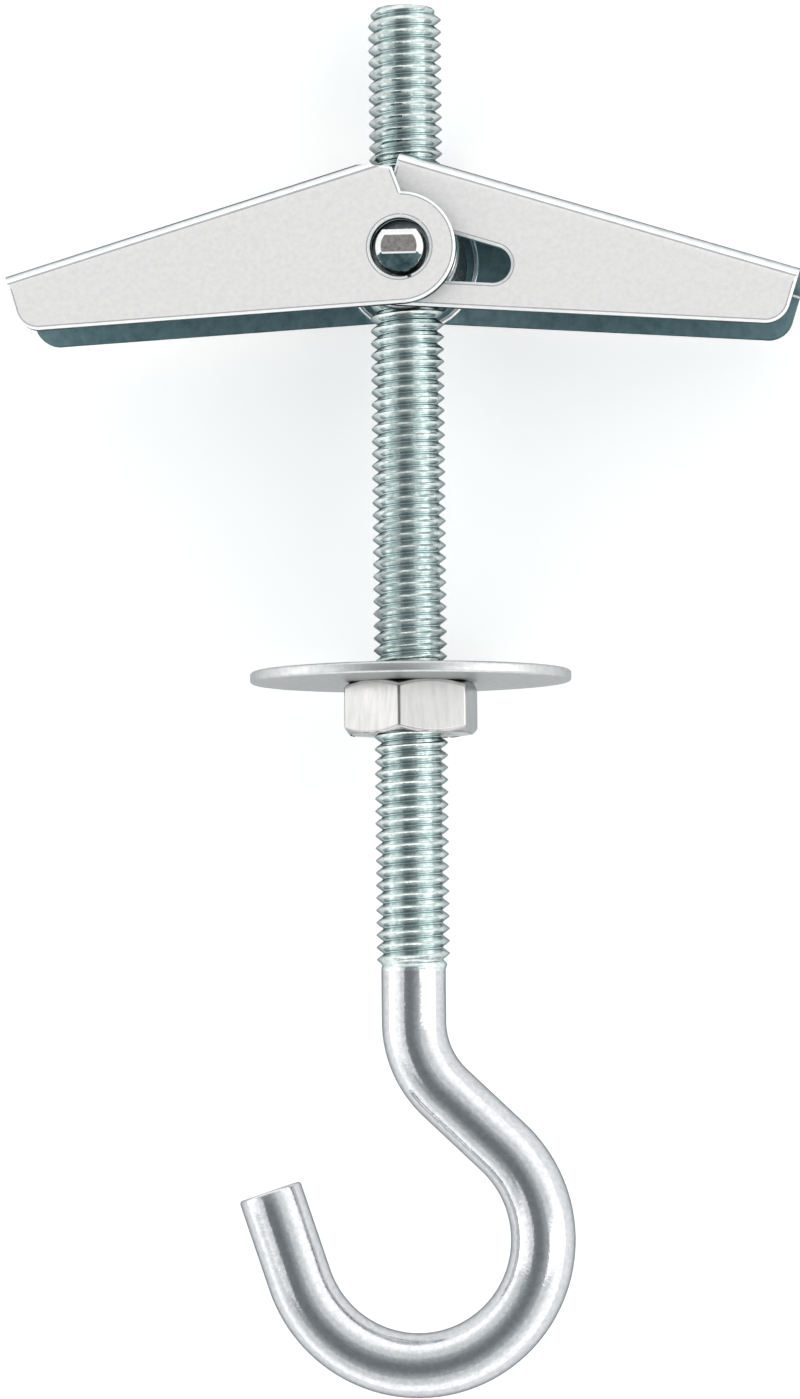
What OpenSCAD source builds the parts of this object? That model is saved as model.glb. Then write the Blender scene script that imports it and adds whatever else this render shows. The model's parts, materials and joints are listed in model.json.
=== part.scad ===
// Spring toggle bolt with an open hook, a hexagon nut and a wide washer.
// Everything is first placed on the bolt's own axis: Z runs along the bolt with the toggle's
// pin axis at zero and the hook below, X runs across the wings and Y along the toggle's pins.
// lying() then lays the whole part down on its washer's rim and one wing.

/* [Bolt] */
// Outside diameter of the thread
thread_d = 5.95; // [5.6:0.05:6]
// Length of the bolt beyond the toggle's pin axis
bolt_above_pin = 20.4; // [12:0.1:40]
// Distance from the pin axis to the end of the thread
thread_below_pin = 56.8; // [50:0.1:70]
// Length of the bevel at the bolt's free end
bolt_end_bevel = 0.65; // [0.2:0.05:1]
// Diameter of the plain rod that the hook is bent from
rod_d = 5.2; // [4.6:0.05:5.4]
// Length of plain rod between the thread and the first bend
plain_l = 4.8; // [1:0.1:15]

/* [Hook] */
// Radius of the hook's loop, to the middle of the rod
loop_r = 10.1; // [8.5:0.1:14]
// Radius of the first bend, to the middle of the rod
bend_r = 7.9; // [5:0.1:10]
// Angle that the first bend turns the rod away from the bolt's axis
bend_angle = 46.5; // [40:0.5:55]
// Length of straight rod between the two bends
link_l = 6.4; // [3:0.1:9]
// Length of the hook's straight free leg
leg_l = 7.5; // [3:0.1:9]
// Angle that the free leg leans away from the bolt's axis
leg_lean = 18.5; // [5:0.5:30]
// Bevel at the cut end of the free leg
leg_bevel = 0.25; // [0.1:0.05:0.6]

/* [Nut and washer] */
// Distance from the pin axis to the seat between nut and washer
nut_seat_below_pin = 34.6; // [34.1:0.1:44]
// Width of the nut across its flats
nut_af = 10; // [9.4:0.1:12]
// Height of the nut
nut_h = 4.2; // [3:0.1:6]
// Angle that the nut is turned by on the bolt
nut_turn = -4.5; // [-30:0.5:30]
// Diameter of the washer
washer_d = 26; // [20:0.5:30]
// Diameter of the washer's hole
washer_hole_d = 6.4; // [6.2:0.1:7.5]
// Thickness of the washer
washer_t = 0.9; // [0.7:0.1:1]
// Bevel round the washer's edges
washer_bevel = 0.15; // [0.05:0.05:0.25]

/* [Wings] */
// Length of a wing from its pin to its tip
wing_l = 31.2; // [20:0.1:31.5]
// Height of a wing's back above its pin
wing_back_h = 7.6; // [6.9:0.1:8]
// Radius of the round ears about the pin
ear_r = 4.5; // [4:0.1:5.2]
// Angle between a wing's back and the lower edges of its sides
wing_taper = 13.5; // [11:0.1:15]
// Radius of the rounded lower corner at a wing's tip
tip_r = 2; // [1:0.1:3.4]
// Thickness of the sheet that the wings are folded from
sheet_t = 1; // [0.8:0.05:1.05]
// Outside radius of the two folds
fold_r = 1.2; // [1.15:0.05:2]
// Angle that the left wing hangs below square to the bolt
left_droop = 16.5; // [15:0.1:25]
// Angle that the right wing hangs below square to the bolt
right_droop = 17.6; // [15:0.1:25]
// Distance that the outer ear's top runs past the pin
outer_ear_past = 1.3; // [0.8:0.1:1.4]
// Distance over which the outer ear's top slopes down from the wing's back
outer_ear_slope = 2.8; // [1:0.1:4]
// Distance that the inner ear's top runs past the pin
inner_ear_past = 2.4; // [1.5:0.1:2.4]
// Length of the slot in the inner ear, from the pin to the middle of its round end
slot_l = 7.5; // [6:0.1:12]
// Radius of the slot's round end
slot_end_r = 1.5; // [1:0.1:2]

/* [Trunnion and spring] */
// Diameter of the trunnion's round body
trunnion_d = 9.2; // [8.6:0.1:9.6]
// Length of the trunnion's round body along the pin axis
trunnion_l = 8; // [7.9:0.1:9]
// Diameter of the trunnion's pins
pin_d = 4; // [3:0.1:4.4]
// Distance that each pin stands out past the outer ear
pin_past = 0.5; // [0.2:0.1:1.5]
// Diameter of the spring's wire
wire_d = 0.45; // [0.3:0.05:0.5]
// Radius of the spring's coil, to the middle of the wire
coil_r = 5.4; // [5.2:0.05:5.45]
// Length of each of the spring's legs under the wings' backs
spring_leg_l = 13; // [6:0.5:20]

/* [Clearances] */
// Radial clearance of the nut and the trunnion on the thread
thread_clearance = 0.05; // [0.02:0.01:0.09]
// Radial clearance of the pins in the ears
pin_clearance = 0.4; // [0.1:0.05:0.5]
// Gap between the trunnion's body and the inner ears
body_gap = 0.25; // [0.1:0.05:0.4]
// Gap between an inner ear and the outer ear beside it
ear_gap = 0.15; // [0.1:0.05:0.5]
// Gap between the bolt and the notch in each wing's back
notch_gap = 0.35; // [0.3:0.05:0.8]

/* [Hidden] */
$fn = 64;
// Length by which a cutting shape runs past the face that it cuts
over = 1;
// Extra radius of a round where straight edges run into it
arc_swell = 0.01;

// Bolt and hook: the rod is a hair thicker in its bends, and its straights run into them
thread_r = thread_d / 2;
bore_r = thread_r + thread_clearance;
rod_r = rod_d / 2;
bend_swell = 0.02;
bend_lap = 0.3;
thread_runout = thread_r - rod_r;
bend_below_pin = thread_below_pin + thread_runout + plain_l;
bolt_end_r = thread_r - bolt_end_bevel;
loop_x = bend_r - (bend_r + loop_r) * cos(bend_angle) + link_l * sin(bend_angle);
loop_z = -bend_below_pin - (bend_r + loop_r) * sin(bend_angle) - link_l * cos(bend_angle);
loop_sweep = bend_angle + 180 - leg_lean;

// Nut and washer
chamfer_angle = 30;
nut_corner_r = nut_af / sqrt(3);
nut_chamfer_h = (nut_corner_r - nut_af / 2) * tan(chamfer_angle);
mouth_r = bore_r + 0.35;
washer_r = washer_d / 2;

// Ears, numbered outwards from the bolt along the pin axis
inner_ear_y = trunnion_l / 2 + body_gap;
inner_ear_out_y = inner_ear_y + sheet_t;
outer_ear_y = inner_ear_out_y + ear_gap;
outer_ear_out_y = outer_ear_y + sheet_t;
pin_end_y = outer_ear_out_y + pin_past;
pin_r = pin_d / 2;
pin_hole_r = pin_r + pin_clearance;
notch_r = thread_r + notch_gap;
tip_centre_x = wing_l - tip_r;
tip_centre_z = (tip_r + (tip_centre_x - ear_r * sin(wing_taper)) * sin(wing_taper))
               / cos(wing_taper) - ear_r * cos(wing_taper);

// Spring: one coil behind the bolt that starts and ends along the wings' backs
coil_turn = 360 + left_droop + right_droop;
coil_steps = 44;
wire_sides = 8;
coil_pitch_y = wire_d * 1.12;
coil_y = thread_r + notch_gap / 2 + wire_d / 2;
coil_rise = coil_pitch_y * coil_turn / 360;

// Trunnion
body_bevel = 0.3;
pin_bevel = 0.5;
pin_flat_z = 0.75 * pin_r;
// The pin's cropped end keeps a small face between a bevel above and a long one below
pin_face_top_z = 0.48 * pin_r;
pin_face_low_z = -0.25 * pin_r;
pin_top_angle = 45;
pin_low_angle = 30;

// Wings
wing_half_w = (inner_ear_out_y + outer_ear_out_y) / 2;
ear_shift = (outer_ear_out_y - inner_ear_out_y) / 2;
outer_ear_neck = outer_ear_past + 0.4;
// The notch clears the bolt where it leaves the back's underside, at the smaller droop
notch_droop = min(left_droop, right_droop);
notch_x = thread_r * (1 / cos(notch_droop) - 1) - (wing_back_h - sheet_t) * tan(notch_droop);

// Rest: pitch of the bolt's axis at which the floor touches the rim and the fold's round
rim_z = washer_t - washer_bevel - nut_seat_below_pin;
fold_centre_h = wing_back_h - fold_r;
fold_centre_y = outer_ear_out_y - fold_r;
first_pitch = 9;
pitch_rounds = 30;
function rest_pitch(p, rounds) = rounds <= 0 ? p :
    let (across = sqrt(pow(cos(p), 2) - pow(tan(right_droop) * sin(p), 2)))
    rest_pitch(asin((washer_r * cos(p) - fold_r - fold_centre_y * across)
                    / (fold_centre_h / cos(right_droop) - rim_z)), rounds - 1);
pitch = rest_pitch(first_pitch, pitch_rounds);
roll = asin(tan(pitch) * tan(right_droop));
floor_drop = washer_r * cos(pitch) + rim_z * sin(pitch);
function tip_reach(droop) = wing_l * cos(droop) + wing_back_h * sin(droop);
middle_x = (tip_reach(right_droop) - tip_reach(left_droop)) / 2 * cos(roll);
middle_y = (bolt_above_pin * cos(pitch) + bolt_end_r * sin(pitch)
            + (loop_z - loop_r) * cos(pitch) - rod_r) / 2;

// ---- Bolt and hook ----

// A bend of the rod, from the X axis round by an angle in the XZ plane
module rod_bend(radius, start, turn) {
    rotate([90, 0, 0]) rotate([0, 0, start])
        rotate_extrude(angle = turn)
            translate([radius, 0]) circle(r = rod_r + bend_swell);
}

// The bolt from its bevelled end to the first bend, turned in one profile
module straight_bolt() {
    rotate_extrude() polygon([
        [0, -bend_below_pin - bend_lap],
        [rod_r, -bend_below_pin - bend_lap],
        [rod_r, -thread_below_pin - thread_runout],
        [thread_r, -thread_below_pin],
        [thread_r, bolt_above_pin - bolt_end_bevel],
        [bolt_end_r, bolt_above_pin],
        [0, bolt_above_pin]
    ]);
}

// The straight between the bends, which runs into both of them
module link() {
    translate([0, 0, -bend_lap]) cylinder(r = rod_r, h = link_l + 2 * bend_lap);
}

// The hook's end: straight, with a small bevel where it was cut off
module free_leg() {
    rotate_extrude() polygon([
        [0, -bend_lap],
        [rod_r, -bend_lap],
        [rod_r, leg_l - leg_bevel],
        [rod_r - leg_bevel, leg_l],
        [0, leg_l]
    ]);
}

module hook_bolt() {
    color([0.78, 0.80, 0.80]) {
        straight_bolt();
        translate([bend_r, 0, -bend_below_pin]) rod_bend(bend_r, 180, bend_angle);
        translate([loop_x, 0, loop_z]) {
            rod_bend(loop_r, leg_lean - 180, loop_sweep);
            rotate([0, -bend_angle, 0]) translate([loop_r, 0, 0]) link();
            rotate([0, -leg_lean, 0]) translate([-loop_r, 0, 0]) free_leg();
        }
    }
}

// ---- Nut and washer ----

// Half section of a round bevel that leaves the flats and cuts only the nut's corners
module corner_bevel_section() {
    polygon([
        [0, -nut_h],
        [nut_af / 2, -nut_h],
        [nut_corner_r, nut_chamfer_h - nut_h],
        [nut_corner_r, -nut_chamfer_h],
        [nut_af / 2, 0],
        [0, 0]
    ]);
}

module hex_nut() {
    color([0.86, 0.87, 0.87])
        translate([0, 0, -nut_seat_below_pin])
            difference() {
                intersection() {
                    rotate([0, 0, nut_turn - 90]) translate([0, 0, -nut_h])
                        cylinder(r = nut_corner_r, h = nut_h, $fn = 6);
                    rotate_extrude() corner_bevel_section();
                }
                translate([0, 0, -nut_h - over]) cylinder(r = bore_r, h = nut_h + 2 * over);
                translate([0, 0, -mouth_r]) cylinder(r1 = 0, r2 = mouth_r, h = mouth_r);
                translate([0, 0, -nut_h]) cylinder(r1 = mouth_r, r2 = 0, h = mouth_r);
            }
}

module washer_section() {
    inner = washer_hole_d / 2;
    polygon([
        [inner, 0],
        [washer_r - washer_bevel, 0],
        [washer_r, washer_bevel],
        [washer_r, washer_t - washer_bevel],
        [washer_r - washer_bevel, washer_t],
        [inner + washer_bevel, washer_t],
        [inner, washer_t - washer_bevel]
    ]);
}

module washer() {
    color([0.74, 0.75, 0.75])
        translate([0, 0, -nut_seat_below_pin]) rotate_extrude() washer_section();
}

// ---- Trunnion and spring ----

// One pin, outwards along Y: a flat along its top and its end sheared back underneath
module trunnion_pin() {
    length = pin_end_y - trunnion_l / 2;
    difference() {
        translate([0, trunnion_l / 2 - over, 0]) rotate([-90, 0, 0]) {
            cylinder(r = pin_r, h = length + over - pin_bevel);
            translate([0, 0, length + over - pin_bevel])
                cylinder(r1 = pin_r, r2 = pin_r - pin_bevel, h = pin_bevel);
        }
        translate([-pin_r - over, trunnion_l / 2, pin_flat_z])
            cube([pin_d + 2 * over, length + over, pin_r]);
        translate([0, pin_end_y, pin_face_top_z]) rotate([pin_top_angle, 0, 0])
            translate([-pin_r - over, 0, 0]) cube([pin_d + 2 * over, pin_d, pin_d]);
        translate([0, pin_end_y, pin_face_low_z]) rotate([-pin_low_angle, 0, 0])
            translate([-pin_r - over, 0, -pin_d]) cube([pin_d + 2 * over, pin_d, pin_d]);
    }
}

module trunnion() {
    color([0.68, 0.70, 0.71])
        difference() {
            union() {
                translate([0, -trunnion_l / 2, 0]) rotate([-90, 0, 0]) {
                    translate([0, 0, body_bevel])
                        cylinder(r = trunnion_d / 2, h = trunnion_l - 2 * body_bevel);
                    cylinder(r1 = trunnion_d / 2 - body_bevel, r2 = trunnion_d / 2, h = body_bevel);
                    translate([0, 0, trunnion_l - body_bevel])
                        cylinder(r1 = trunnion_d / 2, r2 = trunnion_d / 2 - body_bevel,
                                 h = body_bevel);
                }
                trunnion_pin();
                mirror([0, 1, 0]) trunnion_pin();
            }
            translate([0, 0, -trunnion_d]) cylinder(r = bore_r, h = 2 * trunnion_d);
        }
}

// The wire's path: up the left leg, round the coil and down the right leg
function coil_point(t) =
    let (turn = 90 + left_droop - coil_turn * t)
    [coil_r * cos(turn), coil_y + coil_rise * t, coil_r * sin(turn)];
function leg_point(side, droop, y, out) =
    [side * (coil_r * sin(droop) + out * cos(droop)), y,
     coil_r * cos(droop) - out * sin(droop)];
wire_path = concat(
    [leg_point(-1, left_droop, coil_y, spring_leg_l)],
    [for (i = [0 : coil_steps]) coil_point(i / coil_steps)],
    [leg_point(1, right_droop, coil_y + coil_rise, spring_leg_l)]
);

function unit(v) = v / norm(v);
function heading(path, i) =
    unit(path[min(i + 1, len(path) - 1)] - path[max(i - 1, 0)]);
// A ring of points round the path, set out from the pin axis's direction
function wire_ring(path, i) =
    let (along = heading(path, i), side = unit(cross(along, [0, 1, 0])), up = cross(side, along))
    [for (k = [0 : wire_sides - 1])
        let (a = 360 * k / wire_sides)
        path[i] + wire_d / 2 * (cos(a) * side + sin(a) * up)];

module swept_wire(path) {
    rings = len(path);
    points = [for (i = [0 : rings - 1]) each wire_ring(path, i)];
    skin = [for (i = [0 : rings - 2], k = [0 : wire_sides - 1])
        let (next = (k + 1) % wire_sides, a = i * wire_sides, b = a + wire_sides)
        [a + k, b + k, b + next, a + next]];
    first_end = [for (k = [0 : wire_sides - 1]) k];
    last_end = [for (k = [wire_sides - 1 : -1 : 0]) (rings - 1) * wire_sides + k];
    polyhedron(points, concat([first_end], skin, [last_end]), convexity = 4);
}

module torsion_spring() {
    color([0.62, 0.64, 0.65]) swept_wire(wire_path);
}

// ---- Wings ----
// A wing is drawn with its pin axis on Y, its back level and its tip towards +X.
// Its outer ear is on the +Y side.

// Section across the folded sheet: the back with two rounded folds and a side below each
module fold_outline(half_width, top, radius) {
    translate([-half_width, -ear_r - over])
        square([2 * half_width, top - radius + ear_r + over]);
    translate([radius - half_width, top - radius - over])
        square([2 * (half_width - radius), radius + over]);
    for (side = [-1, 1])
        translate([side * (half_width - radius), top - radius]) circle(r = radius);
}

module wing_section() {
    difference() {
        fold_outline(wing_half_w, wing_back_h, fold_r);
        fold_outline(wing_half_w - sheet_t, wing_back_h - sheet_t, fold_r - sheet_t);
        translate([-wing_half_w - over, -ear_r - 3 * over])
            square([2 * (wing_half_w + over), 2.5 * over]);
    }
}

// Outline of a side, seen along the pin axis: a round ear, a tapering blade, a rounded corner
module side_outline() {
    lower_normal = [sin(wing_taper), -cos(wing_taper)];
    circle(r = ear_r + arc_swell);
    translate([tip_centre_x, tip_centre_z]) circle(r = tip_r + arc_swell);
    polygon([
        [-inner_ear_past, 0],
        [0, 0],
        ear_r * lower_normal,
        [tip_centre_x, tip_centre_z] + tip_r * lower_normal,
        [tip_centre_x, tip_centre_z],
        [wing_l, tip_centre_z],
        [wing_l, wing_back_h + over],
        [-inner_ear_past, wing_back_h + over]
    ]);
}

// The slot in the inner ear narrows from the pin's hole to its round end
module slot_outline() {
    narrowing = asin((pin_hole_r - slot_end_r) / slot_l);
    edge = [sin(narrowing), cos(narrowing)];
    translate([slot_l, 0]) circle(r = slot_end_r + arc_swell);
    polygon([
        [0, 0],
        (pin_hole_r - arc_swell) * [edge.x, -edge.y],
        [slot_l, 0] + slot_end_r * [edge.x, -edge.y],
        [slot_l, 0] + slot_end_r * [edge.x, edge.y],
        (pin_hole_r - arc_swell) * [edge.x, edge.y]
    ]);
}

// What is cut from the outer ear's top: its slope, and what lies beyond the pin
module outer_ear_trim() {
    difference() {
        polygon([
            [-inner_ear_past - over, 0],
            [-outer_ear_neck, 0],
            [-outer_ear_past, fold_centre_h],
            [2 * outer_ear_slope - outer_ear_past, wing_back_h + fold_r],
            [-inner_ear_past - over, wing_back_h + 2 * over]
        ]);
        circle(r = ear_r + arc_swell);
    }
}

module along_pin(length) {
    rotate([90, 0, 0]) linear_extrude(length, center = true) children();
}

module wing() {
    difference() {
        intersection() {
            translate([-ear_r - over, ear_shift, 0]) rotate([90, 0, 90])
                linear_extrude(wing_l + ear_r + 2 * over) wing_section();
            along_pin(4 * wing_half_w) side_outline();
        }
        translate([0, wing_half_w, 0]) along_pin(2 * wing_half_w) outer_ear_trim();
        rotate([90, 0, 0]) cylinder(r = pin_hole_r, h = 4 * wing_half_w, center = true);
        translate([0, -wing_half_w, 0]) along_pin(2 * wing_half_w)
            rotate(wing_taper / 2) slot_outline();
        notch();
    }
}

// Round-ended notch in the back that clears the bolt
module notch() {
    translate([notch_x, 0, wing_back_h - sheet_t - over / 2])
        cylinder(r = notch_r, h = sheet_t + over);
    translate([notch_x - 2 * notch_r, -notch_r, wing_back_h - sheet_t - over / 2])
        cube([2 * notch_r, 2 * notch_r, sheet_t + over]);
}

module left_wing() {
    color([0.88, 0.88, 0.88]) rotate([0, 0, 180]) rotate([0, left_droop, 0]) wing();
}

module right_wing() {
    color([0.90, 0.90, 0.90]) rotate([0, right_droop, 0]) wing();
}

// ---- Rest ----

// Lays the bolt down: the axis pitched, and the part rolled about it, until the washer's rim
// and the right wing's back fold touch the floor
module lying() {
    translate([-middle_x, -middle_y, floor_drop])
        rotate([-90 - pitch, 0, 0]) rotate([0, 0, roll]) children();
}

lying() hook_bolt();
lying() hex_nut();
lying() washer();
lying() trunnion();
lying() torsion_spring();
lying() left_wing();
lying() right_wing();
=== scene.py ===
# %% [markdown]
# # A spring toggle bolt in bright zinc
#
# A toggle bolt is a threaded rod with a hook at one end and two folded sheet wings at the
# other. The working model comes in as a fixed frame, in metres, with the bolt lying on the
# floor: X runs across the wings, Y along the bolt to the toggle's end, and Z is up. Each
# of its seven nodes is replaced here by a finer piece of the same form.

import json
import math

import bmesh
import bpy
from mathutils import Matrix, Vector


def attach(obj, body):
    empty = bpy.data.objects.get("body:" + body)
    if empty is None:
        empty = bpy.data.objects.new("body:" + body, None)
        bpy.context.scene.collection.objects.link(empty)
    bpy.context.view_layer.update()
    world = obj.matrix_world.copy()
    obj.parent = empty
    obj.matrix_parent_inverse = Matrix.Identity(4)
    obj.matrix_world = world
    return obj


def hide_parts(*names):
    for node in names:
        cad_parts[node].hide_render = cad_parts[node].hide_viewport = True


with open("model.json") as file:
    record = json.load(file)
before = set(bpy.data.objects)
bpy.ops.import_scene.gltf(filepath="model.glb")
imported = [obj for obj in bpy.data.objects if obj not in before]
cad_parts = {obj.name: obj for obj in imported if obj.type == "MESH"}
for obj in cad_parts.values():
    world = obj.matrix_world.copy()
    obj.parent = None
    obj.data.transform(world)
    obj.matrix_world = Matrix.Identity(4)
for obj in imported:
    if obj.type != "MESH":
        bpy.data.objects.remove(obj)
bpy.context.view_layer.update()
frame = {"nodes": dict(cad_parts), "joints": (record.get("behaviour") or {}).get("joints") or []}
MM = 0.001  # lengths below are in millimetres; this turns them to metres
print("nodes:", ", ".join(sorted(frame["nodes"])))

# %% [markdown]
# ## The bolt's own axes
#
# The part lies tilted, on its washer's rim and one wing. It is easier to draw it upright
# and then lay it down, so the joints give the axes: the toggle slides along the bolt, and
# a wing turns about the pin. `lie` takes a point from the bolt's own axes, with Z along
# the bolt and the pin at the origin, to where the part lies.

# %% Axes from the joints
joints = {joint["name"]: joint for joint in frame["joints"]}
bolt_axis = Vector(joints["toggle_travel"]["axis"]).normalized()
pin_axis = Vector(joints["right_wing_fold"]["axis"]).normalized()
pin_centre = Vector(joints["right_wing_fold"]["pos_m"])
side_axis = pin_axis.cross(bolt_axis)
turned = Matrix((side_axis, pin_axis, bolt_axis)).transposed().to_4x4()
lie = Matrix.Translation(pin_centre) @ turned
print("bolt leans", round(math.degrees(math.asin(-bolt_axis.z)), 2), "degrees from level")

# %% [markdown]
# ## One object from a bmesh
#
# Every new piece is drawn in the bolt's own axes in a bmesh. `finished` lays it down,
# points its faces outwards, and gives it smooth shading with sharp edges kept. Its object
# stays at the origin, so that patterns on Object coordinates stay where they are.


def finished(name, bm, material, body, node, sharp=35, laid=False):
    """Turn a bmesh into a piece that rides on a body and stands for a node.

    sharp is the angle, in degrees, past which an edge stays crisp. A bmesh that began as
    a copy of a node is laid down already."""
    if not laid:
        bmesh.ops.transform(bm, matrix=lie, verts=bm.verts)
        bmesh.ops.recalc_face_normals(bm, faces=bm.faces)
    for face in bm.faces:
        face.smooth = True
    crisp = math.radians(sharp)
    for edge in bm.edges:
        edge.smooth = len(edge.link_faces) != 2 or edge.calc_face_angle() < crisp
    mesh = bpy.data.meshes.new(name)
    bm.to_mesh(mesh)
    bm.free()
    mesh.materials.append(material)
    piece = bpy.data.objects.new(name, mesh)
    bpy.context.scene.collection.objects.link(piece)
    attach(piece, body)
    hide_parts(node)
    print(f"{name}: {len(mesh.polygons)} faces")
    return piece


# %% [markdown]
# ## Materials: one small helper
#
# A material is a handful of nodes. `add` makes one node with its settings and links, and
# `linear` turns a hex colour, as a screen shows it, into the linear light that the
# renderer works in.

# %% Colours and nodes
def linear(hex_colour):
    """sRGB hex to linear RGBA."""
    screen = [int(hex_colour[i : i + 2], 16) / 255 for i in (1, 3, 5)]
    light = [c / 12.92 if c <= 0.04045 else ((c + 0.055) / 1.055) ** 2.4 for c in screen]
    return light + [1]


def add(tree, kind, settings=None, stops=(), **inputs):
    """Add a node. A setting is a property of it; an input is a value or another socket.

    An input is named, with _ for a space, or numbered: _0 is the node's first one. stops
    are the (place, hex colour) pairs of a colour ramp."""
    node = tree.nodes.new(kind)
    for key, value in (settings or {}).items():
        setattr(node, key, value)
    if stops:
        points = node.color_ramp.elements
        while len(points) < len(stops):
            points.new(0.5)
        for point, (place, colour) in zip(points, stops):
            point.position, point.color = place, linear(colour)
    for key, value in inputs.items():
        socket = node.inputs[int(key[1:]) if key[1:].isdigit() else key.replace("_", " ")]
        if isinstance(value, bpy.types.NodeSocket):
            tree.links.new(value, socket)
        else:
            socket.default_value = value
    return node


def blank(name):
    """A new material with only its output and a Principled shader."""
    material = bpy.data.materials.new(name)
    material.use_nodes = True
    tree = material.node_tree
    shader = tree.nodes["Principled BSDF"]
    return material, tree, shader


print("half grey on a screen is", round(linear("#808080")[0], 3), "in linear light")

# %% [markdown]
# ## Bright zinc plate
#
# The steel is barrel plated with zinc and passivated clear, which leaves a cool silver
# with a faint blue-green cast. Plating follows what is under it: the drawn rod keeps fine
# draw marks and dark smears, the rolled thread is smoother, and the pressed sheet is
# matt. All of them are one metal, so one function makes them and only the tints, the
# roughness and the marks differ.

# %% Zinc plate
PER_M = 1000  # a noise of scale s has features about 1/s metres wide, so 1 mm is 1000
GRAIN_DEPTH = 0.02  # from the hollows of the grain to its tops
THIN, THICK = 0.3, 0.7  # noise stays near 0.5, so this is nearly all of its range
DARK_TO, LIGHT_FROM = 0.32, 0.62  # the plate is dark below the one, light above the other
FILM_AND_SHADE_FROM, FILM_AND_SHADE_SHARE = 0.35, 0.5  # depth where the roots' film and painted shade start, and their strongest share


def zinc_plate(name, light, dark, roughness, spread, mottle_mm, grain_mm, bump,
               stretch=(1, 1, 1), metal=1.0, glance="#8A9092", root_film_and_shade=None):
    """Metal whose colour and gloss wander between two tints over mottle_mm.

    The real plate's grain is finer than the eye can tell apart, so it is drawn as coarse
    as it needs to show. The metal's reflection is dimmed where it is seen at a glance, a painted
    shade, so a round rod gets a thin grey line along each side; that is the metal's edge tint.
    stretch makes streaks, and the last argument is the colour painted into a thread's roots:
    partly the film that lies deep there, partly painted shade."""
    material, tree, shader = blank(name)
    where = add(tree, "ShaderNodeTexCoord").outputs["Object"]
    drawn = add(tree, "ShaderNodeMapping", Vector=where, Scale=stretch).outputs["Vector"]
    mottle = add(tree, "ShaderNodeTexNoise", Vector=drawn, Scale=PER_M / mottle_mm,
                 Detail=4.0, Roughness=0.6).outputs["Fac"]
    grain = add(tree, "ShaderNodeTexNoise", Vector=drawn, Scale=PER_M / grain_mm,
                Detail=2.0).outputs["Fac"]
    tint = add(tree, "ShaderNodeValToRGB", stops=((DARK_TO, dark), (LIGHT_FROM, light)),
               Fac=mottle).outputs["Color"]
    # darker roots by depth: partly the film lying deep there, partly painted shade
    if root_film_and_shade:
        depth = add(tree, "ShaderNodeAttribute", {"attribute_name": "root_film_and_shade"})
        share = add(tree, "ShaderNodeMapRange", Value=depth.outputs["Fac"],
                    From_Min=FILM_AND_SHADE_FROM, From_Max=1.0, To_Min=0.0,
                    To_Max=FILM_AND_SHADE_SHARE).outputs["Result"]
        tint = add(tree, "ShaderNodeMixRGB", Fac=share, Color1=tint,
                   Color2=linear(root_film_and_shade)).outputs["Color"]
    tree.links.new(tint, shader.inputs["Base Color"])
    gloss = add(tree, "ShaderNodeMapRange", Value=mottle, From_Min=THIN, From_Max=THICK,
                To_Min=roughness + spread, To_Max=roughness - spread).outputs["Result"]
    tree.links.new(gloss, shader.inputs["Roughness"])
    relief = add(tree, "ShaderNodeBump", Strength=bump, Distance=GRAIN_DEPTH * MM,
                 Height=grain)
    tree.links.new(relief.outputs["Normal"], shader.inputs["Normal"])
    shader.inputs["Metallic"].default_value = metal
    # edge tint: painted shade that dims the reflection where the metal is seen at a glance
    if metal == 1:
        shader.inputs["Specular Tint"].default_value = linear(glance)
    print("finish:", name)
    return material


# %% [markdown]
# ## Finishes of the bolt, the nut and the washer
#
# Rolling presses the thread's steel smooth, drawing leaves fine lines along the rod and
# along the nut's hexagon, and punching leaves the washer dull. The plate over them could
# have one tint, but its film lies thicker in the grooves than on the crests, so the
# thread has a second, darker one for its roots, partly that film and partly painted shade.

# %% Finishes: bolt, nut and washer
# Rolled thread: a mirror-like film, mottled, painted darker blue-green in the roots, partly the
# film lying deep there and partly painted shade
thread_zinc = zinc_plate(
    "rolled_thread_zinc", "#EDF3F1", "#C4D0CE", roughness=0.17, spread=0.06,
    mottle_mm=0.7, grain_mm=0.28, bump=0.8, root_film_and_shade="#829B9F")
# Drawn rod: sharp light and dark bands along it, their edges ragged from the draw marks
rod_zinc = zinc_plate(
    "drawn_rod_zinc", "#DBDBDD", "#C9CACD", roughness=0.11, spread=0.03,
    mottle_mm=0.45, grain_mm=0.22, bump=0.42)
# Drawn hexagon: faint streaks along the bolt and a soft sheen over each flat
nut_zinc = zinc_plate(
    "drawn_hexagon_zinc", "#C1BFBE", "#B3B2B1", roughness=0.2, spread=0.04,
    mottle_mm=0.7, grain_mm=0.25, bump=0.12, stretch=(1, 0.12, 1), glance="#C8CCCE")
# Punched washer: an even dull grey without clear reflections
washer_zinc = zinc_plate(
    "punched_washer_zinc", "#D3D3D3", "#C6C6C6", roughness=0.36, spread=0.05,
    mottle_mm=0.5, grain_mm=0.2, bump=0.5, glance="#B8BABB")

# %% [markdown]
# ## Finishes of a wing
#
# A wing is pressed from sheet that is matt outside; the inside of its channel is painted
# darker, as painted shade. The press rubs the folds smooth, so they reflect a bright line,
# the cut edges carry a painted highlight, and painted shade lies beside them and on the sheet's
# cut sides as thin grey lines. As finishes of the folds' own faces they stay where they belong
# from every side and at every size.

# %% Finishes: wings
# Pressed sheet: nearly white and matt, so a wing's side reads as one flat pale face
sheet_zinc = zinc_plate(
    "pressed_sheet_zinc", "#F4F0EF", "#EBE7E6", roughness=0.45, spread=0.03,
    mottle_mm=0.4, grain_mm=0.2, bump=0.25, metal=0.15)
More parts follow.
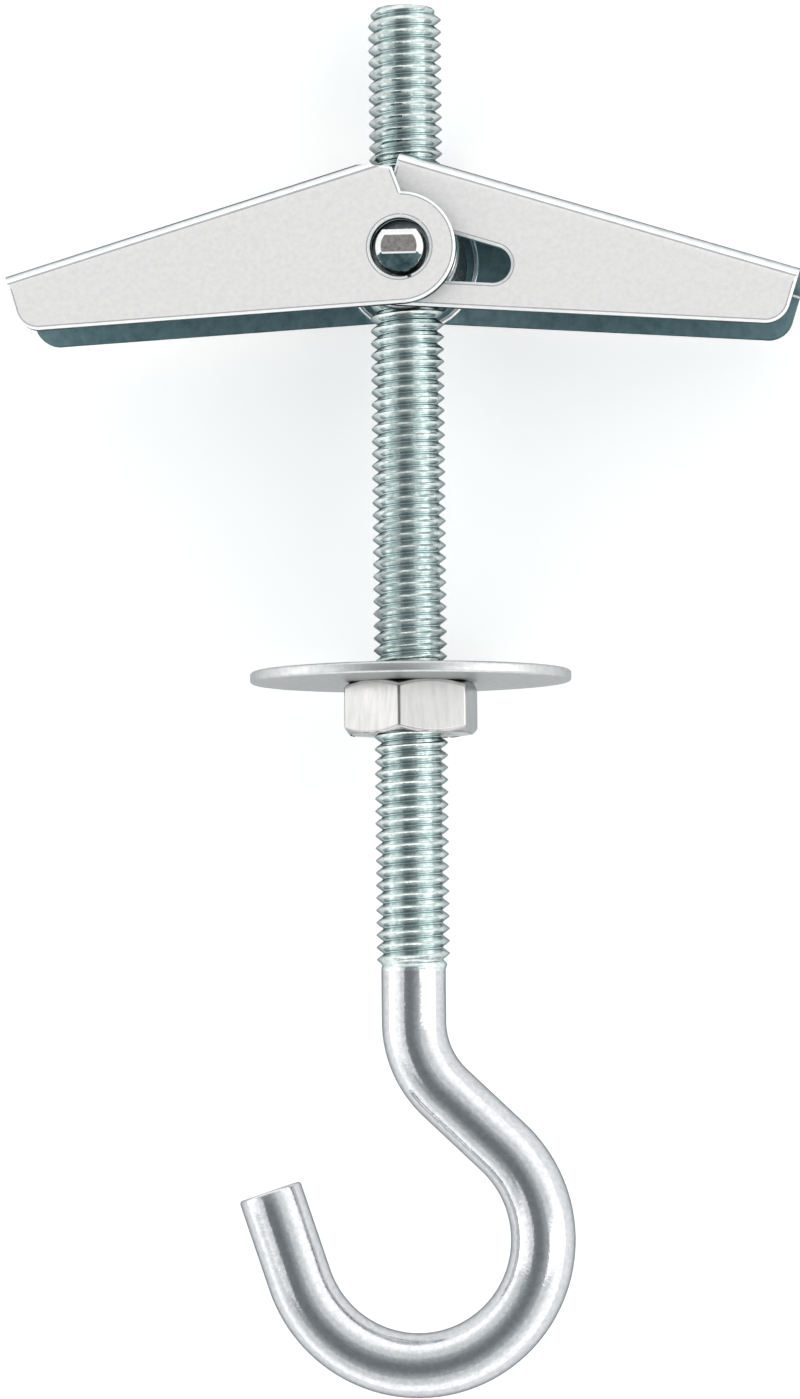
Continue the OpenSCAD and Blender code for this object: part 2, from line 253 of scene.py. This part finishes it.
# Inside of the channel: the same sheet painted dark blue-green, as painted shade
painted_shade_channel_zinc = zinc_plate(
    "painted_shade_channel_zinc", "#A3BEC3", "#839EA4", roughness=0.42, spread=0.04,
    mottle_mm=0.9, grain_mm=0.2, bump=0.3)
# Fold's shoulder: rubbed smooth by the press, so it reflects a bright line; its edge tint paints
# a dark one beside it, as painted shade
fold_zinc = zinc_plate(
    "burnished_fold_zinc", "#EEF0F0", "#E2E5E5", roughness=0.14, spread=0.02,
    mottle_mm=0.8, grain_mm=0.3, bump=0.05, glance="#6A7073")
# Sheet's edge: painted white, a painted highlight that draws a fine light line round every cut
rim_highlight_zinc = zinc_plate(
    "painted_highlight_rim_zinc", "#FFFFFF", "#F6F6F6", roughness=0.3, spread=0.02,
    mottle_mm=0.8, grain_mm=0.3, bump=0.05, metal=0.1)
# Fold's back: a greyer copy of the fold, as painted shade, darker still where it is seen at a
# glance
fold_back_shade_zinc = zinc_plate(
    "painted_shade_fold_back_zinc", "#DCDFE0", "#CDD1D2", roughness=0.2, spread=0.03,
    mottle_mm=0.8, grain_mm=0.3, bump=0.1, glance="#5A6062")
# Crease at the fold's foot and beside a rim: a thin grey line of painted shade
crease_shade_zinc = zinc_plate(
    "painted_shade_crease_zinc", "#B9B9B9", "#ADADAD", roughness=0.35, spread=0.03,
    mottle_mm=0.8, grain_mm=0.3, bump=0.1, metal=0.15)

# %% [markdown]
# ## Finishes of the trunnion and the spring
#
# The trunnion is turned from bar, plated, and its pins are then cropped to length, so
# their ends show bare steel, with the sheared bevel below each painted dark as painted shade.
# The spring's wire is drawn through a die and smoother than anything else here.

# %% Finishes: trunnion and spring
# Trunnion: turned bar with a satin gleam
bar_zinc = zinc_plate(
    "turned_bar_zinc", "#D0D2D2", "#AEB2B3", roughness=0.28, spread=0.06,
    mottle_mm=0.6, grain_mm=0.25, bump=0.4)
# Pin's end: bare cropped steel, grainy and a little warm
cropped_steel = zinc_plate(
    "cropped_steel", "#C4BBBA", "#8C8685", roughness=0.42, spread=0.08,
    mottle_mm=0.35, grain_mm=0.15, bump=0.8)
# Bevel below the pin's end and a wing's cut sides: painted dark, a painted shade that sets the
# bright end off
cut_shade_zinc = zinc_plate(
    "painted_shade_cut_zinc", "#5C7276", "#2E4044", roughness=0.3, spread=0.06,
    mottle_mm=0.9, grain_mm=0.2, bump=0.3)
# Spring wire: smooth and pale, one clean highlight along each leg
spring_wire = zinc_plate(
    "drawn_spring_wire", "#F0F2F4", "#C8CCCE", roughness=0.2, spread=0.05,
    mottle_mm=1.0, grain_mm=0.1, bump=0.2, metal=0.8)

# %% [markdown]
# ## The rolled thread
#
# An M6 thread advances one millimetre a turn. A thread could be a texture, but its edge
# shows against the background, so it is real here. One line of flanks, crests and roots
# is drawn along the bolt and spun once round it while it climbs one pitch: each crest
# then meets the next one, and merging the doubles closes the surface.

# %% One line of the thread
PITCH = 1.0
CREST_R, ROOT_R = 2.975, 2.42
ROOT_CURVE, FLANK_RISE, CREST_CURVE = 0.02, 0.29, 0.04
# Radius along one pitch, from the middle of a root to the middle of the next
thread_form = ((0.0, ROOT_R), (0.06, ROOT_R + ROOT_CURVE), (0.25, ROOT_R + FLANK_RISE),
               (0.44, CREST_R - CREST_CURVE), (0.5, CREST_R), (0.56, CREST_R - CREST_CURVE),
               (0.75, ROOT_R + FLANK_RISE), (0.94, ROOT_R + ROOT_CURVE))


def thread_line(bm, low, high):
    """A chain of edges in the XZ plane that follows the thread's form from low to high."""
    last = None
    for pitch_number in range(math.floor(low), math.ceil(high)):
        for rise, radius in thread_form:
            vert = bm.verts.new((radius * MM, 0, (pitch_number + rise) * PITCH * MM))
            if last:
                bm.edges.new((last, vert))
            last = vert


print("thread's depth", round(CREST_R - ROOT_R, 3), "mm")

# %% Spin the thread
THREAD_TOP, THREAD_END = 20.4, -56.8  # places along the bolt, from the pin's axis
RUNOUT = 1.1  # length over which the thread fades into the plain rod
TURN_STEPS = 64
WELD = 0.001  # points nearer than this are doubles of one another


def threaded_part():
    """The thread, drawn a little too long and cut clean at both ends; only its top is shut.

    A full spin usually merges its ends. Here the last line lies one pitch above the
    first, so the doubles are merged afterwards."""
    bm = bmesh.new()
    thread_line(bm, THREAD_END - 2, THREAD_TOP + 1)
    bmesh.ops.spin(bm, geom=bm.verts[:] + bm.edges[:], cent=(0, 0, 0), axis=(0, 0, 1),
                   dvec=(0, 0, PITCH * MM / TURN_STEPS), angle=math.tau, steps=TURN_STEPS,
                   use_merge=False)
    bmesh.ops.remove_doubles(bm, verts=bm.verts, dist=WELD * MM)
    rims = []
    for height, out in ((THREAD_TOP, 1), (THREAD_END - RUNOUT, -1)):
        cut = bmesh.ops.bisect_plane(bm, geom=bm.verts[:] + bm.edges[:] + bm.faces[:],
                                     plane_co=(0, 0, height * MM), plane_no=(0, 0, out),
                                     clear_outer=True)
        rims.append([e for e in cut["geom_cut"] if isinstance(e, bmesh.types.BMEdge)])
    bmesh.ops.contextual_create(bm, geom=rims[0])
    return bm, rims[1]


bolt, open_rim = threaded_part()
print("thread:", len(bolt.faces), "faces")

# %% [markdown]
# ## The thread's two ends
#
# The free end is turned to a bevel before the thread is rolled, and at the other end the
# dies leave off, so the grooves grow shallow within about one turn. Cutting and blending
# such ends would leave slivers. Moving each point in or out along its radius keeps every
# face, and the depth it had is stored for the finish, which paints the roots darker by it:
# partly the film that lies there, partly painted shade.

# %% Ends of the thread
ROD_R = 2.6
END_BEVEL = 0.65


def shape_ends(bm):
    """Bevel the free end and let the thread run out into the plain rod."""
    root_film_and_shade = bm.verts.layers.float.new("root_film_and_shade")
    for vert in bm.verts:
        radius = math.hypot(vert.co.x, vert.co.y) / MM
        height = vert.co.z / MM
        fade = min(1, max(0, (THREAD_END - height) / RUNOUT))
        # how deep a point lies in a root, for the roots painted darker: partly film, partly
        # painted shade
        vert[root_film_and_shade] = max(0, (CREST_R - radius) / (CREST_R - ROOT_R)) * (1 - fade)
        wanted = min(radius, CREST_R - END_BEVEL + THREAD_TOP - height)
        wanted += (ROD_R - wanted) * fade * fade * (3 - 2 * fade)
        vert.co.x *= wanted / radius
        vert.co.y *= wanted / radius


shape_ends(bolt)
print("turns:", round((THREAD_TOP - THREAD_END) / PITCH, 1))

# %% [markdown]
# ## The hook
#
# Below the thread the rod is plain: straight, a bend to the side, a short link, and a
# loop that ends in a straight leg. A curve with a round bevel would do, but a spin gives
# true arcs, and the rod can grow out of the thread's open end, so that the bolt is one
# closed skin. That rim is carried along: extruded on the straights, spun round the centre
# of each bend.

# %% A rod that grows
ARC_STEP = 3.0  # degrees of bend for each ring of faces


class RodEnd:
    """The open end of the rod while it is drawn: where it is and which way it heads."""

    def __init__(self, bm, rim, start):
        self.bm, self.rim = bm, rim
        self.place, self.heading = start, Vector((0, 0, -1))

    def straight(self, length, steps):
        """Go straight on, in a few steps that keep the faces short."""
        step = self.heading * (length * MM / steps)
        for _ in range(steps):
            out = bmesh.ops.extrude_edge_only(self.bm, edges=self.rim)["geom"]
            verts = [g for g in out if isinstance(g, bmesh.types.BMVert)]
            self.rim = [g for g in out if isinstance(g, bmesh.types.BMEdge)
                        and g.verts[0] in verts and g.verts[1] in verts]
            bmesh.ops.translate(self.bm, verts=verts, vec=step)
        self.place = self.place + self.heading * length * MM

    def bend(self, radius, angle):
        """Turn about Y; a positive angle swings the heading from -Z towards +X."""
        sideways = Vector((-self.heading.z, 0, self.heading.x)) * math.copysign(1, angle)
        centre = self.place + sideways * radius * MM
        turn = -math.radians(angle)
        spun = bmesh.ops.spin(self.bm, geom=self.rim, cent=centre, axis=(0, 1, 0),
                              angle=turn, steps=round(abs(angle) / ARC_STEP))["geom_last"]
        self.rim = [g for g in spun if isinstance(g, bmesh.types.BMEdge)]
        rotation = Matrix.Rotation(turn, 3, "Y")
        self.place = centre + rotation @ (self.place - centre)
        self.heading = rotation @ self.heading


rod_end = RodEnd(bolt, open_rim, Vector((0, 0, (THREAD_END - RUNOUT) * MM)))
print("plain rod starts at", [round(c / MM, 2) for c in rod_end.place])

# %% Shank, bend and hook
BEND_START = 61.975  # along the bolt, from the pin's axis
BEND_R, BEND_ANGLE = 7.9, 46.5
LINK_L = 6.4
LOOP_R, LEG_LEAN, LEG_L = 10.1, 18.5, 7.5
LEG_BEVEL = 0.25


def plain_rod(end):
    """Grow the rod from the thread to the hook's tip, and shut it with a small bevel."""
    end.straight(BEND_START + THREAD_END - RUNOUT, 4)
    end.bend(BEND_R, BEND_ANGLE)
    end.straight(LINK_L, 4)
    end.bend(LOOP_R, -(BEND_ANGLE + 180 - LEG_LEAN))
    end.straight(LEG_L, 5)
    cap = bmesh.ops.contextual_create(end.bm, geom=end.rim)["faces"]
    bmesh.ops.bevel(end.bm, geom=cap[0].edges[:], offset=LEG_BEVEL * MM, segments=3,
                    profile=0.5, affect="EDGES", material=-1)


plain_rod(rod_end)
print("hook's tip at", [round(c / MM, 2) for c in rod_end.place])

# %% [markdown]
# ## One bolt, two finishes
#
# The bolt is one bar, but the dies have made its thread smoother than its rod. Two pieces
# would show a seam. Two material slots on one skin don't: the thread takes the first slot,
# and everything below its runout the second.

# %% Finish the bolt
rod_from = (THREAD_END - RUNOUT) * MM
for face in bolt.faces:
    face.material_index = int(face.calc_center_median().z < rod_from)
hook_bolt = finished("threaded_hook_bolt", bolt, thread_zinc, "hook_bolt", "hook_bolt",
                     sharp=50)
hook_bolt.data.materials.append(rod_zinc)

# %% [markdown]
# ## Pressed and turned pieces
#
# The nut, washer, trunnion and wings already have their true form in the model. What
# they lack is the soft edge that a press or a plating bath leaves, and that is what
# catches the light. A copy of the node's mesh is merged into one skin, its flat faces
# are made whole, and its sharp edges are rounded with the bevel operator. A wing's flat
# side also gets a narrow border, which takes a thin line of painted shade beside the edge.

# %% Round a node's edges
MERGE = 0.03  # points closer than this are one, so that no short step folds a bevel over
ONE_FACE = 0.5  # degrees between faces that belong to one flat or smooth surface
FLAT = 0.9995  # a face whose normal follows the pin this closely is a wing's flat side


def sharp_edges(bm, sharp, only):
    """Edges that turn by more than sharp degrees, beside a face that only() chooses."""
    return [e for e in bm.edges if len(e.link_faces) == 2
            and e.calc_face_angle() > math.radians(sharp)
            and (not only or any(only(f) for f in e.link_faces))]


def softened(node, material, body, edge_mm, sharp=30, steps=3, slots=(), slot_of=None,
             only=None, line_mm=0):
    """Replace a node by a copy of itself whose sharp edges are rounded.

    slot_of gives a face its material slot, only says which faces' edges are rounded, and
    line_mm sets a narrow border inside those faces, for a line beside the rounded edge."""
    bm = bmesh.new()
    bm.from_mesh(frame["nodes"][node].data)
    bmesh.ops.remove_doubles(bm, verts=bm.verts, dist=MERGE * MM)
    bmesh.ops.dissolve_limit(bm, angle_limit=math.radians(ONE_FACE), verts=bm.verts,
                             edges=bm.edges)
    bmesh.ops.bevel(bm, geom=sharp_edges(bm, sharp, only), offset=edge_mm * MM,
                    segments=steps, profile=0.5, affect="EDGES", material=-1,
                    clamp_overlap=False)
    if line_mm:
        flats = [f for f in bm.faces if only(f) and abs(f.normal.dot(pin_axis)) > FLAT]
        bmesh.ops.inset_individual(bm, faces=flats, thickness=line_mm * MM,
                                   use_even_offset=True)
    if slot_of:
        sort = slot_of(bm)
        for face in bm.faces:
            face.material_index = sort(face)
    piece = finished(node + "_softened", bm, material, body, node, laid=True)
    for extra in slots:
        piece.data.materials.append(extra)
    normals = piece.modifiers.new("flat faces stay flat", "WEIGHTED_NORMAL")
    normals.keep_sharp = True
    return piece


# %% [markdown]
# ## Nut and washer
#
# The nut is cut from drawn hexagon bar and the washer punched from strip, then both are
# barrel plated, which rounds an edge by a tenth or two of a millimetre. One width of edge
# for each is enough, and their forms and bores stay those of the model.

# %% Nut and washer
hex_nut = softened("hex_nut", nut_zinc, "nut", edge_mm=0.2)
washer = softened("washer", washer_zinc, "washer", edge_mm=0.07)

# %% [markdown]
# ## Trunnion
#
# The cross bar is turned, and its pins are cropped to length after plating. Only the end
# of the front pin shows. Its faces could be pieces of their own, but a face's direction
# and its place along the pin already tell the bright cropped end, the bevel below it painted
# dark as painted shade, and the bevels round it painted white as a painted highlight, from the
# rest of the bar.

# %% Trunnion's faces
BAR, CROPPED, SHADED_BEVEL, HIGHLIGHT_BEVEL = range(4)
PIN_END = 5.5  # beyond this distance from the middle, a face belongs to a pin's end
END_ON = 0.97  # cosine between a face's normal and the pin: it looks along the pin
SLANTED, UPRIGHT = 0.9, 0.6  # the same cosine for a bevel, from barely to strongly tilted
DOWNWARDS = -0.2  # cosine between the normal and the bolt, for a face towards the hook


def trunnion_slots(_):
    """Sort the faces of the trunnion; its rule needs no measure of the mesh first."""

    def sort(face):
        along = abs(face.normal.dot(pin_axis))
        out = abs((face.calc_center_median() - pin_centre).dot(pin_axis))
        if along < UPRIGHT or out < PIN_END * MM:
            return BAR
        if along > END_ON:
            return CROPPED
        # the bevel below the pin's end takes painted shade, the bevels round it a painted
        # highlight
        below = face.normal.dot(bolt_axis) < DOWNWARDS
        return SHADED_BEVEL if below and along < SLANTED else HIGHLIGHT_BEVEL

    return sort


trunnion = softened("trunnion", bar_zinc, "toggle", edge_mm=0.12, sharp=25,
                    slots=(cropped_steel, cut_shade_zinc, rim_highlight_zinc), slot_of=trunnion_slots)

# %% [markdown]
# ## Wings
#
# Both wings are the same pressing, one turned half round. The outside of a side is flat
# and matt with a line of painted shade along its border, the inside of the channel is
# painted darker as painted shade, the folds are smooth, and the sheet's cut edges carry a
# painted highlight. A face's direction says which it is:
# along the pin for the two sides, along the back's own direction for the back, and
# anything between is a fold or an edge.

# %% Outside and inside of a wing
EAR_SHIFT = 0.575  # how far a wing's middle lies off the bolt's axis, along the pin


def outside_of(side):
    """Tell whether a wing's face looks away from its channel."""
    middle = pin_centre + pin_axis * side * EAR_SHIFT * MM

    def outside(face):
        along = face.normal.dot(pin_axis)
        outwards = (face.calc_center_median() - middle).dot(pin_axis)
        return abs(along) > END_ON and along * outwards > 0

    return outside


# %% Wing's faces
FACE, SHADED_CHANNEL, RIM_HIGHLIGHT, SHADED_CUT, FOLD, SHADED_FOLD_BACK, CREASE_SHADE = range(7)
# after the matt sheet: painted shade inside the channel, painted highlight on rims, painted
# shade on cut sides, the mirror-like fold, painted shade on the fold's back and creases
wing_zincs = (painted_shade_channel_zinc, rim_highlight_zinc, cut_shade_zinc, fold_zinc, fold_back_shade_zinc, crease_shade_zinc)
# Cosines between a face's normal and the pin
SQUARE = 0.05  # nearly at right angles to it
CUT_EDGE = 0.2  # up to this it is the sheet's cut edge
CHAMFER = (0.3, 0.9)  # the rubbed rim round a side
FREE_END = 0.5  # cosine between the normal and the bolt: it looks towards the free end
# Cosines between a face's normal and the back's own direction
BACK_FLAT = 0.99
FOLD_FOOT, FOLD_SHOULDER, FOLD_BACK = 0.1, 0.42, 0.76  # where each part of a fold begins


def back_direction(bm):
    """The way a wing's back looks: the normal of the largest face towards the free end."""
    backs = [f for f in bm.faces if abs(f.normal.dot(pin_axis)) < SQUARE
             and f.normal.dot(bolt_axis) > FREE_END]
    return max(backs, key=lambda f: f.calc_area()).normal.copy()


def beside_chamfer(face):
    low, high = CHAMFER
    return any(low < abs(f.normal.dot(pin_axis)) < high
               for e in face.edges for f in e.link_faces)


def wing_slots(side):
    """Sort the faces of one wing, once the way its back looks has been measured."""
    outside = outside_of(side)

    def measure(bm):
        back = back_direction(bm)
        reach = back.cross(pin_axis)

        def sort(face):
            along = abs(face.normal.dot(pin_axis))
            up = face.normal.dot(back)
            # the flat border beside a rim takes painted shade, a thin grey line
            if along > FLAT and outside(face) and beside_chamfer(face):
                return CREASE_SHADE
            # faces inside the channel take painted shade
            if along > END_ON:
                return FACE if outside(face) else SHADED_CHANNEL
            if abs(up) > BACK_FLAT:
                return FACE if up > 0 else SHADED_CHANNEL
            if up > FOLD_FOOT and abs(face.normal.dot(reach)) < SQUARE:
                # the fold's foot takes painted shade, a thin grey line
                if up < FOLD_SHOULDER:
                    return CREASE_SHADE
                # the fold's shoulder reflects; its back takes painted shade
                return FOLD if up < FOLD_BACK else SHADED_FOLD_BACK
            # the sheet's cut sides take painted shade, its rounded rims a painted highlight
            return SHADED_CUT if along < CUT_EDGE else RIM_HIGHLIGHT

        return sort

    return measure


# %% Two wings
def wing(node, side):
    """Round a wing's outside edges; side is -1 or 1, the way its ears lie off the bolt."""
    return softened(node, sheet_zinc, node, edge_mm=0.2, steps=1, slots=wing_zincs,
                    slot_of=wing_slots(side), only=outside_of(side), line_mm=0.1)


left_wing = wing("left_wing", -1)
right_wing = wing("right_wing", 1)

# %% [markdown]
# ## The spring
#
# One coil of wire sits round the trunnion behind the bolt, and each of its legs lies under
# a wing's back and pushes the wing open. On the real toggle a leg swings with its wing
# while the coil winds up. A bent wire can't do both as one rigid piece, so it is parted
# where the legs leave the coil: the coil stays with the trunnion, and each leg rides on
# its wing.

# %% Coil and legs
COIL_REACH = 6.2  # the coil's wire stays nearer to the pin's axis than this, the legs don't


def in_coil(place):
    return math.hypot(place.x, place.z) < COIL_REACH


def wire_part(name, body, keep):
    """The part of the spring's wire that keep() chooses, with its open ends closed.

    keep() is given a face's place on the bolt's own axes, in millimetres."""
    bm = bmesh.new()
    bm.from_mesh(frame["nodes"]["torsion_spring"].data)
    bmesh.ops.remove_doubles(bm, verts=bm.verts, dist=WELD * MM)
    upright = lie.inverted()
    away = [f for f in bm.faces if not keep(upright @ f.calc_center_median() / MM)]
    bmesh.ops.delete(bm, geom=away, context="FACES")
    bmesh.ops.holes_fill(bm, edges=[e for e in bm.edges if e.is_boundary])
    bmesh.ops.recalc_face_normals(bm, faces=bm.faces)
    return finished(name, bm, spring_wire, body, "torsion_spring", sharp=60, laid=True)


coil = wire_part("spring_coil", "toggle", in_coil)
left_leg = wire_part("spring_left_leg", "left_wing",
                     lambda place: not in_coil(place) and place.x < 0)
right_leg = wire_part("spring_right_leg", "right_wing",
                      lambda place: not in_coil(place) and place.x > 0)

# %% [markdown]
# ## Floor
#
# The bolt lies on a plain pale table. Its white comes from the floor's own colour plus a
# little light that only the camera and mirror-like rays see, so the metal reflects a
# white table and the bolt still casts its soft shadow.

# %% Table top
TABLE_GLOW = 0.40  # what the lamps leave short of white


def matt_white():
    """Painted board: pale and matt, so that it shows a soft shadow and no reflection."""
    material, tree, shader = blank("pale_table")
    shader.inputs["Base Color"].default_value = linear("#E6E6E6")
    shader.inputs["Roughness"].default_value = 0.9
    shader.inputs["Specular IOR Level"].default_value = 0.0
    rays = add(tree, "ShaderNodeLightPath").outputs
    seen = add(tree, "ShaderNodeMath", {"operation": "MAXIMUM"}, _0=rays["Is Camera Ray"],
               _1=rays["Is Glossy Ray"]).outputs[0]
    seen = add(tree, "ShaderNodeMath", {"operation": "MAXIMUM"}, _0=seen,
               _1=rays["Is Transmission Ray"]).outputs[0]
    glow = add(tree, "ShaderNodeMath", {"operation": "MULTIPLY"}, _0=seen,
               _1=TABLE_GLOW).outputs[0]
    light = add(tree, "ShaderNodeEmission", Color=linear("#FFFFFF"), Strength=glow)
    both = add(tree, "ShaderNodeAddShader", _0=shader.outputs["BSDF"], _1=light.outputs[0])
    tree.links.new(both.outputs[0], tree.nodes["Material Output"].inputs["Surface"])
    return material


# %% Floor
TABLE_HALF = 3.0  # metres from the middle of the table to its edge


def pale_table():
    bm = bmesh.new()
    bmesh.ops.create_grid(bm, x_segments=2, y_segments=2, size=TABLE_HALF)
    mesh = bpy.data.meshes.new("table")
    bm.to_mesh(mesh)
    bm.free()
    mesh.materials.append(matt_white())
    table = bpy.data.objects.new("table", mesh)
    bpy.context.scene.collection.objects.link(table)
    return table


print("floor:", pale_table().name)

# %% [markdown]
# ## Light
#
# Bright metal shows what is round it, so the light is drawn as a tent. A round rod shows
# the whole tent at once: the dark camera opening overhead becomes the dark streak along
# its middle, the grey cloth beside it the soft shades, and the bright ring low down the
# white bands near its sides. Two long softboxes stand in that ring, left and right.

# %% Tent
OPENING = Vector((-0.14, 0, 0.99))  # towards the middle of the dark opening
TENT_STRENGTH = 1.6
# Cosine between a direction and the opening's, and the tent's colour there
tent_shades = ((0.0, "#F8F9F9"), (0.32, "#F8F9F9"), (0.46, "#E4E6E6"), (0.60, "#C8CBCB"),
               (0.77, "#BCC0C0"), (0.84, "#999D9F"), (0.91, "#898D8F"), (0.985, "#696D6F"))


def light_tent():
    """A sky whose colour depends on how far a direction lies from the opening."""
    world = bpy.data.worlds.new("light_tent")
    bpy.context.scene.world = world
    world.use_nodes = True
    tree = world.node_tree
    sky = tree.nodes["Background"]
    towards = add(tree, "ShaderNodeTexCoord").outputs["Generated"]
    rise = add(tree, "ShaderNodeVectorMath", {"operation": "DOT_PRODUCT"}, _0=towards,
               _1=OPENING).outputs["Value"]
    shade = add(tree, "ShaderNodeValToRGB", stops=tent_shades, Fac=rise).outputs["Color"]
    tree.links.new(shade, sky.inputs["Color"])
    sky.inputs["Strength"].default_value = TENT_STRENGTH
    return world


print("tent:", light_tent().name)


# %% Softboxes
def softbox(name, place, size, power):
    """A rectangular lamp that faces the bolt: place and size in metres, power in watts."""
    lamp = bpy.data.lights.new(name, "AREA")
    lamp.shape = "RECTANGLE"
    lamp.size, lamp.size_y = size
    lamp.energy = power
    holder = bpy.data.objects.new(name, lamp)
    holder.location = place
    holder.rotation_euler = (-Vector(place)).to_track_quat("-Z", "Y").to_euler()
    bpy.context.scene.collection.objects.link(holder)
    print(f"{name}: {power} W")


softbox("softbox_left", (-0.90, 0.0, 0.42), (0.45, 1.6), 1.2)
softbox("softbox_right", (0.97, 0.0, 0.20), (0.32, 2.2), 2.6)

# %% [markdown]
# ## Camera
#
# The camera looks down on the lying bolt from about 44 cm, a little from its right and
# from the hook's side, with the hook at the bottom of the view. It could be placed by
# hand, but it is easier to say on the bolt's own axes: what it aims at, how far away it
# stands, and how far it is off square each way.

# %% Camera
SENSOR_H = 36.0
FOCAL_PX, VIEW_H_PX = 5387.0, 1399  # focal length and the view's height, both in pixels
CAMERA_AWAY = 435.8
FROM_RIGHT, FROM_HOOK, ROLL = 5.46, 3.63, -0.54  # degrees
AIM = Vector((-0.89, 0, -35.95))  # the point on the bolt's own axes at the view's middle


def place_camera():
    camera = bpy.data.cameras.new("camera")
    camera.sensor_fit = "VERTICAL"
    camera.sensor_height = SENSOR_H
    camera.lens = SENSOR_H * FOCAL_PX / VIEW_H_PX
    holder = bpy.data.objects.new("camera", camera)
    bpy.context.scene.collection.objects.link(holder)
    towards = Vector((math.tan(math.radians(FROM_RIGHT)), -1,
                      -math.tan(math.radians(FROM_HOOK)))).normalized()
    up = Vector((0, 0, 1))
    right = up.cross(towards).normalized()
    up = towards.cross(right)
    turn = Matrix.Rotation(math.radians(ROLL), 4, towards)
    stand = Matrix((right, up, towards)).transposed().to_4x4()
    place = Matrix.Translation(AIM * MM + towards * CAMERA_AWAY * MM)
    holder.matrix_world = lie @ place @ turn @ stand
    bpy.context.scene.camera = holder
    return holder


camera = place_camera()
bpy.context.scene.view_settings.view_transform = "Standard"
print("camera stands", round(camera.matrix_world.translation.z, 3), "m above the table")

# %% [markdown]
# ## The end
#
# The pieces and their faces are counted.

# %% Finish
pieces = (hook_bolt, hex_nut, washer, trunnion, left_wing, right_wing,
          coil, left_leg, right_leg)
print(len(pieces), "pieces of", sum(len(p.data.polygons) for p in pieces), "faces")
bpy.context.view_layer.update()
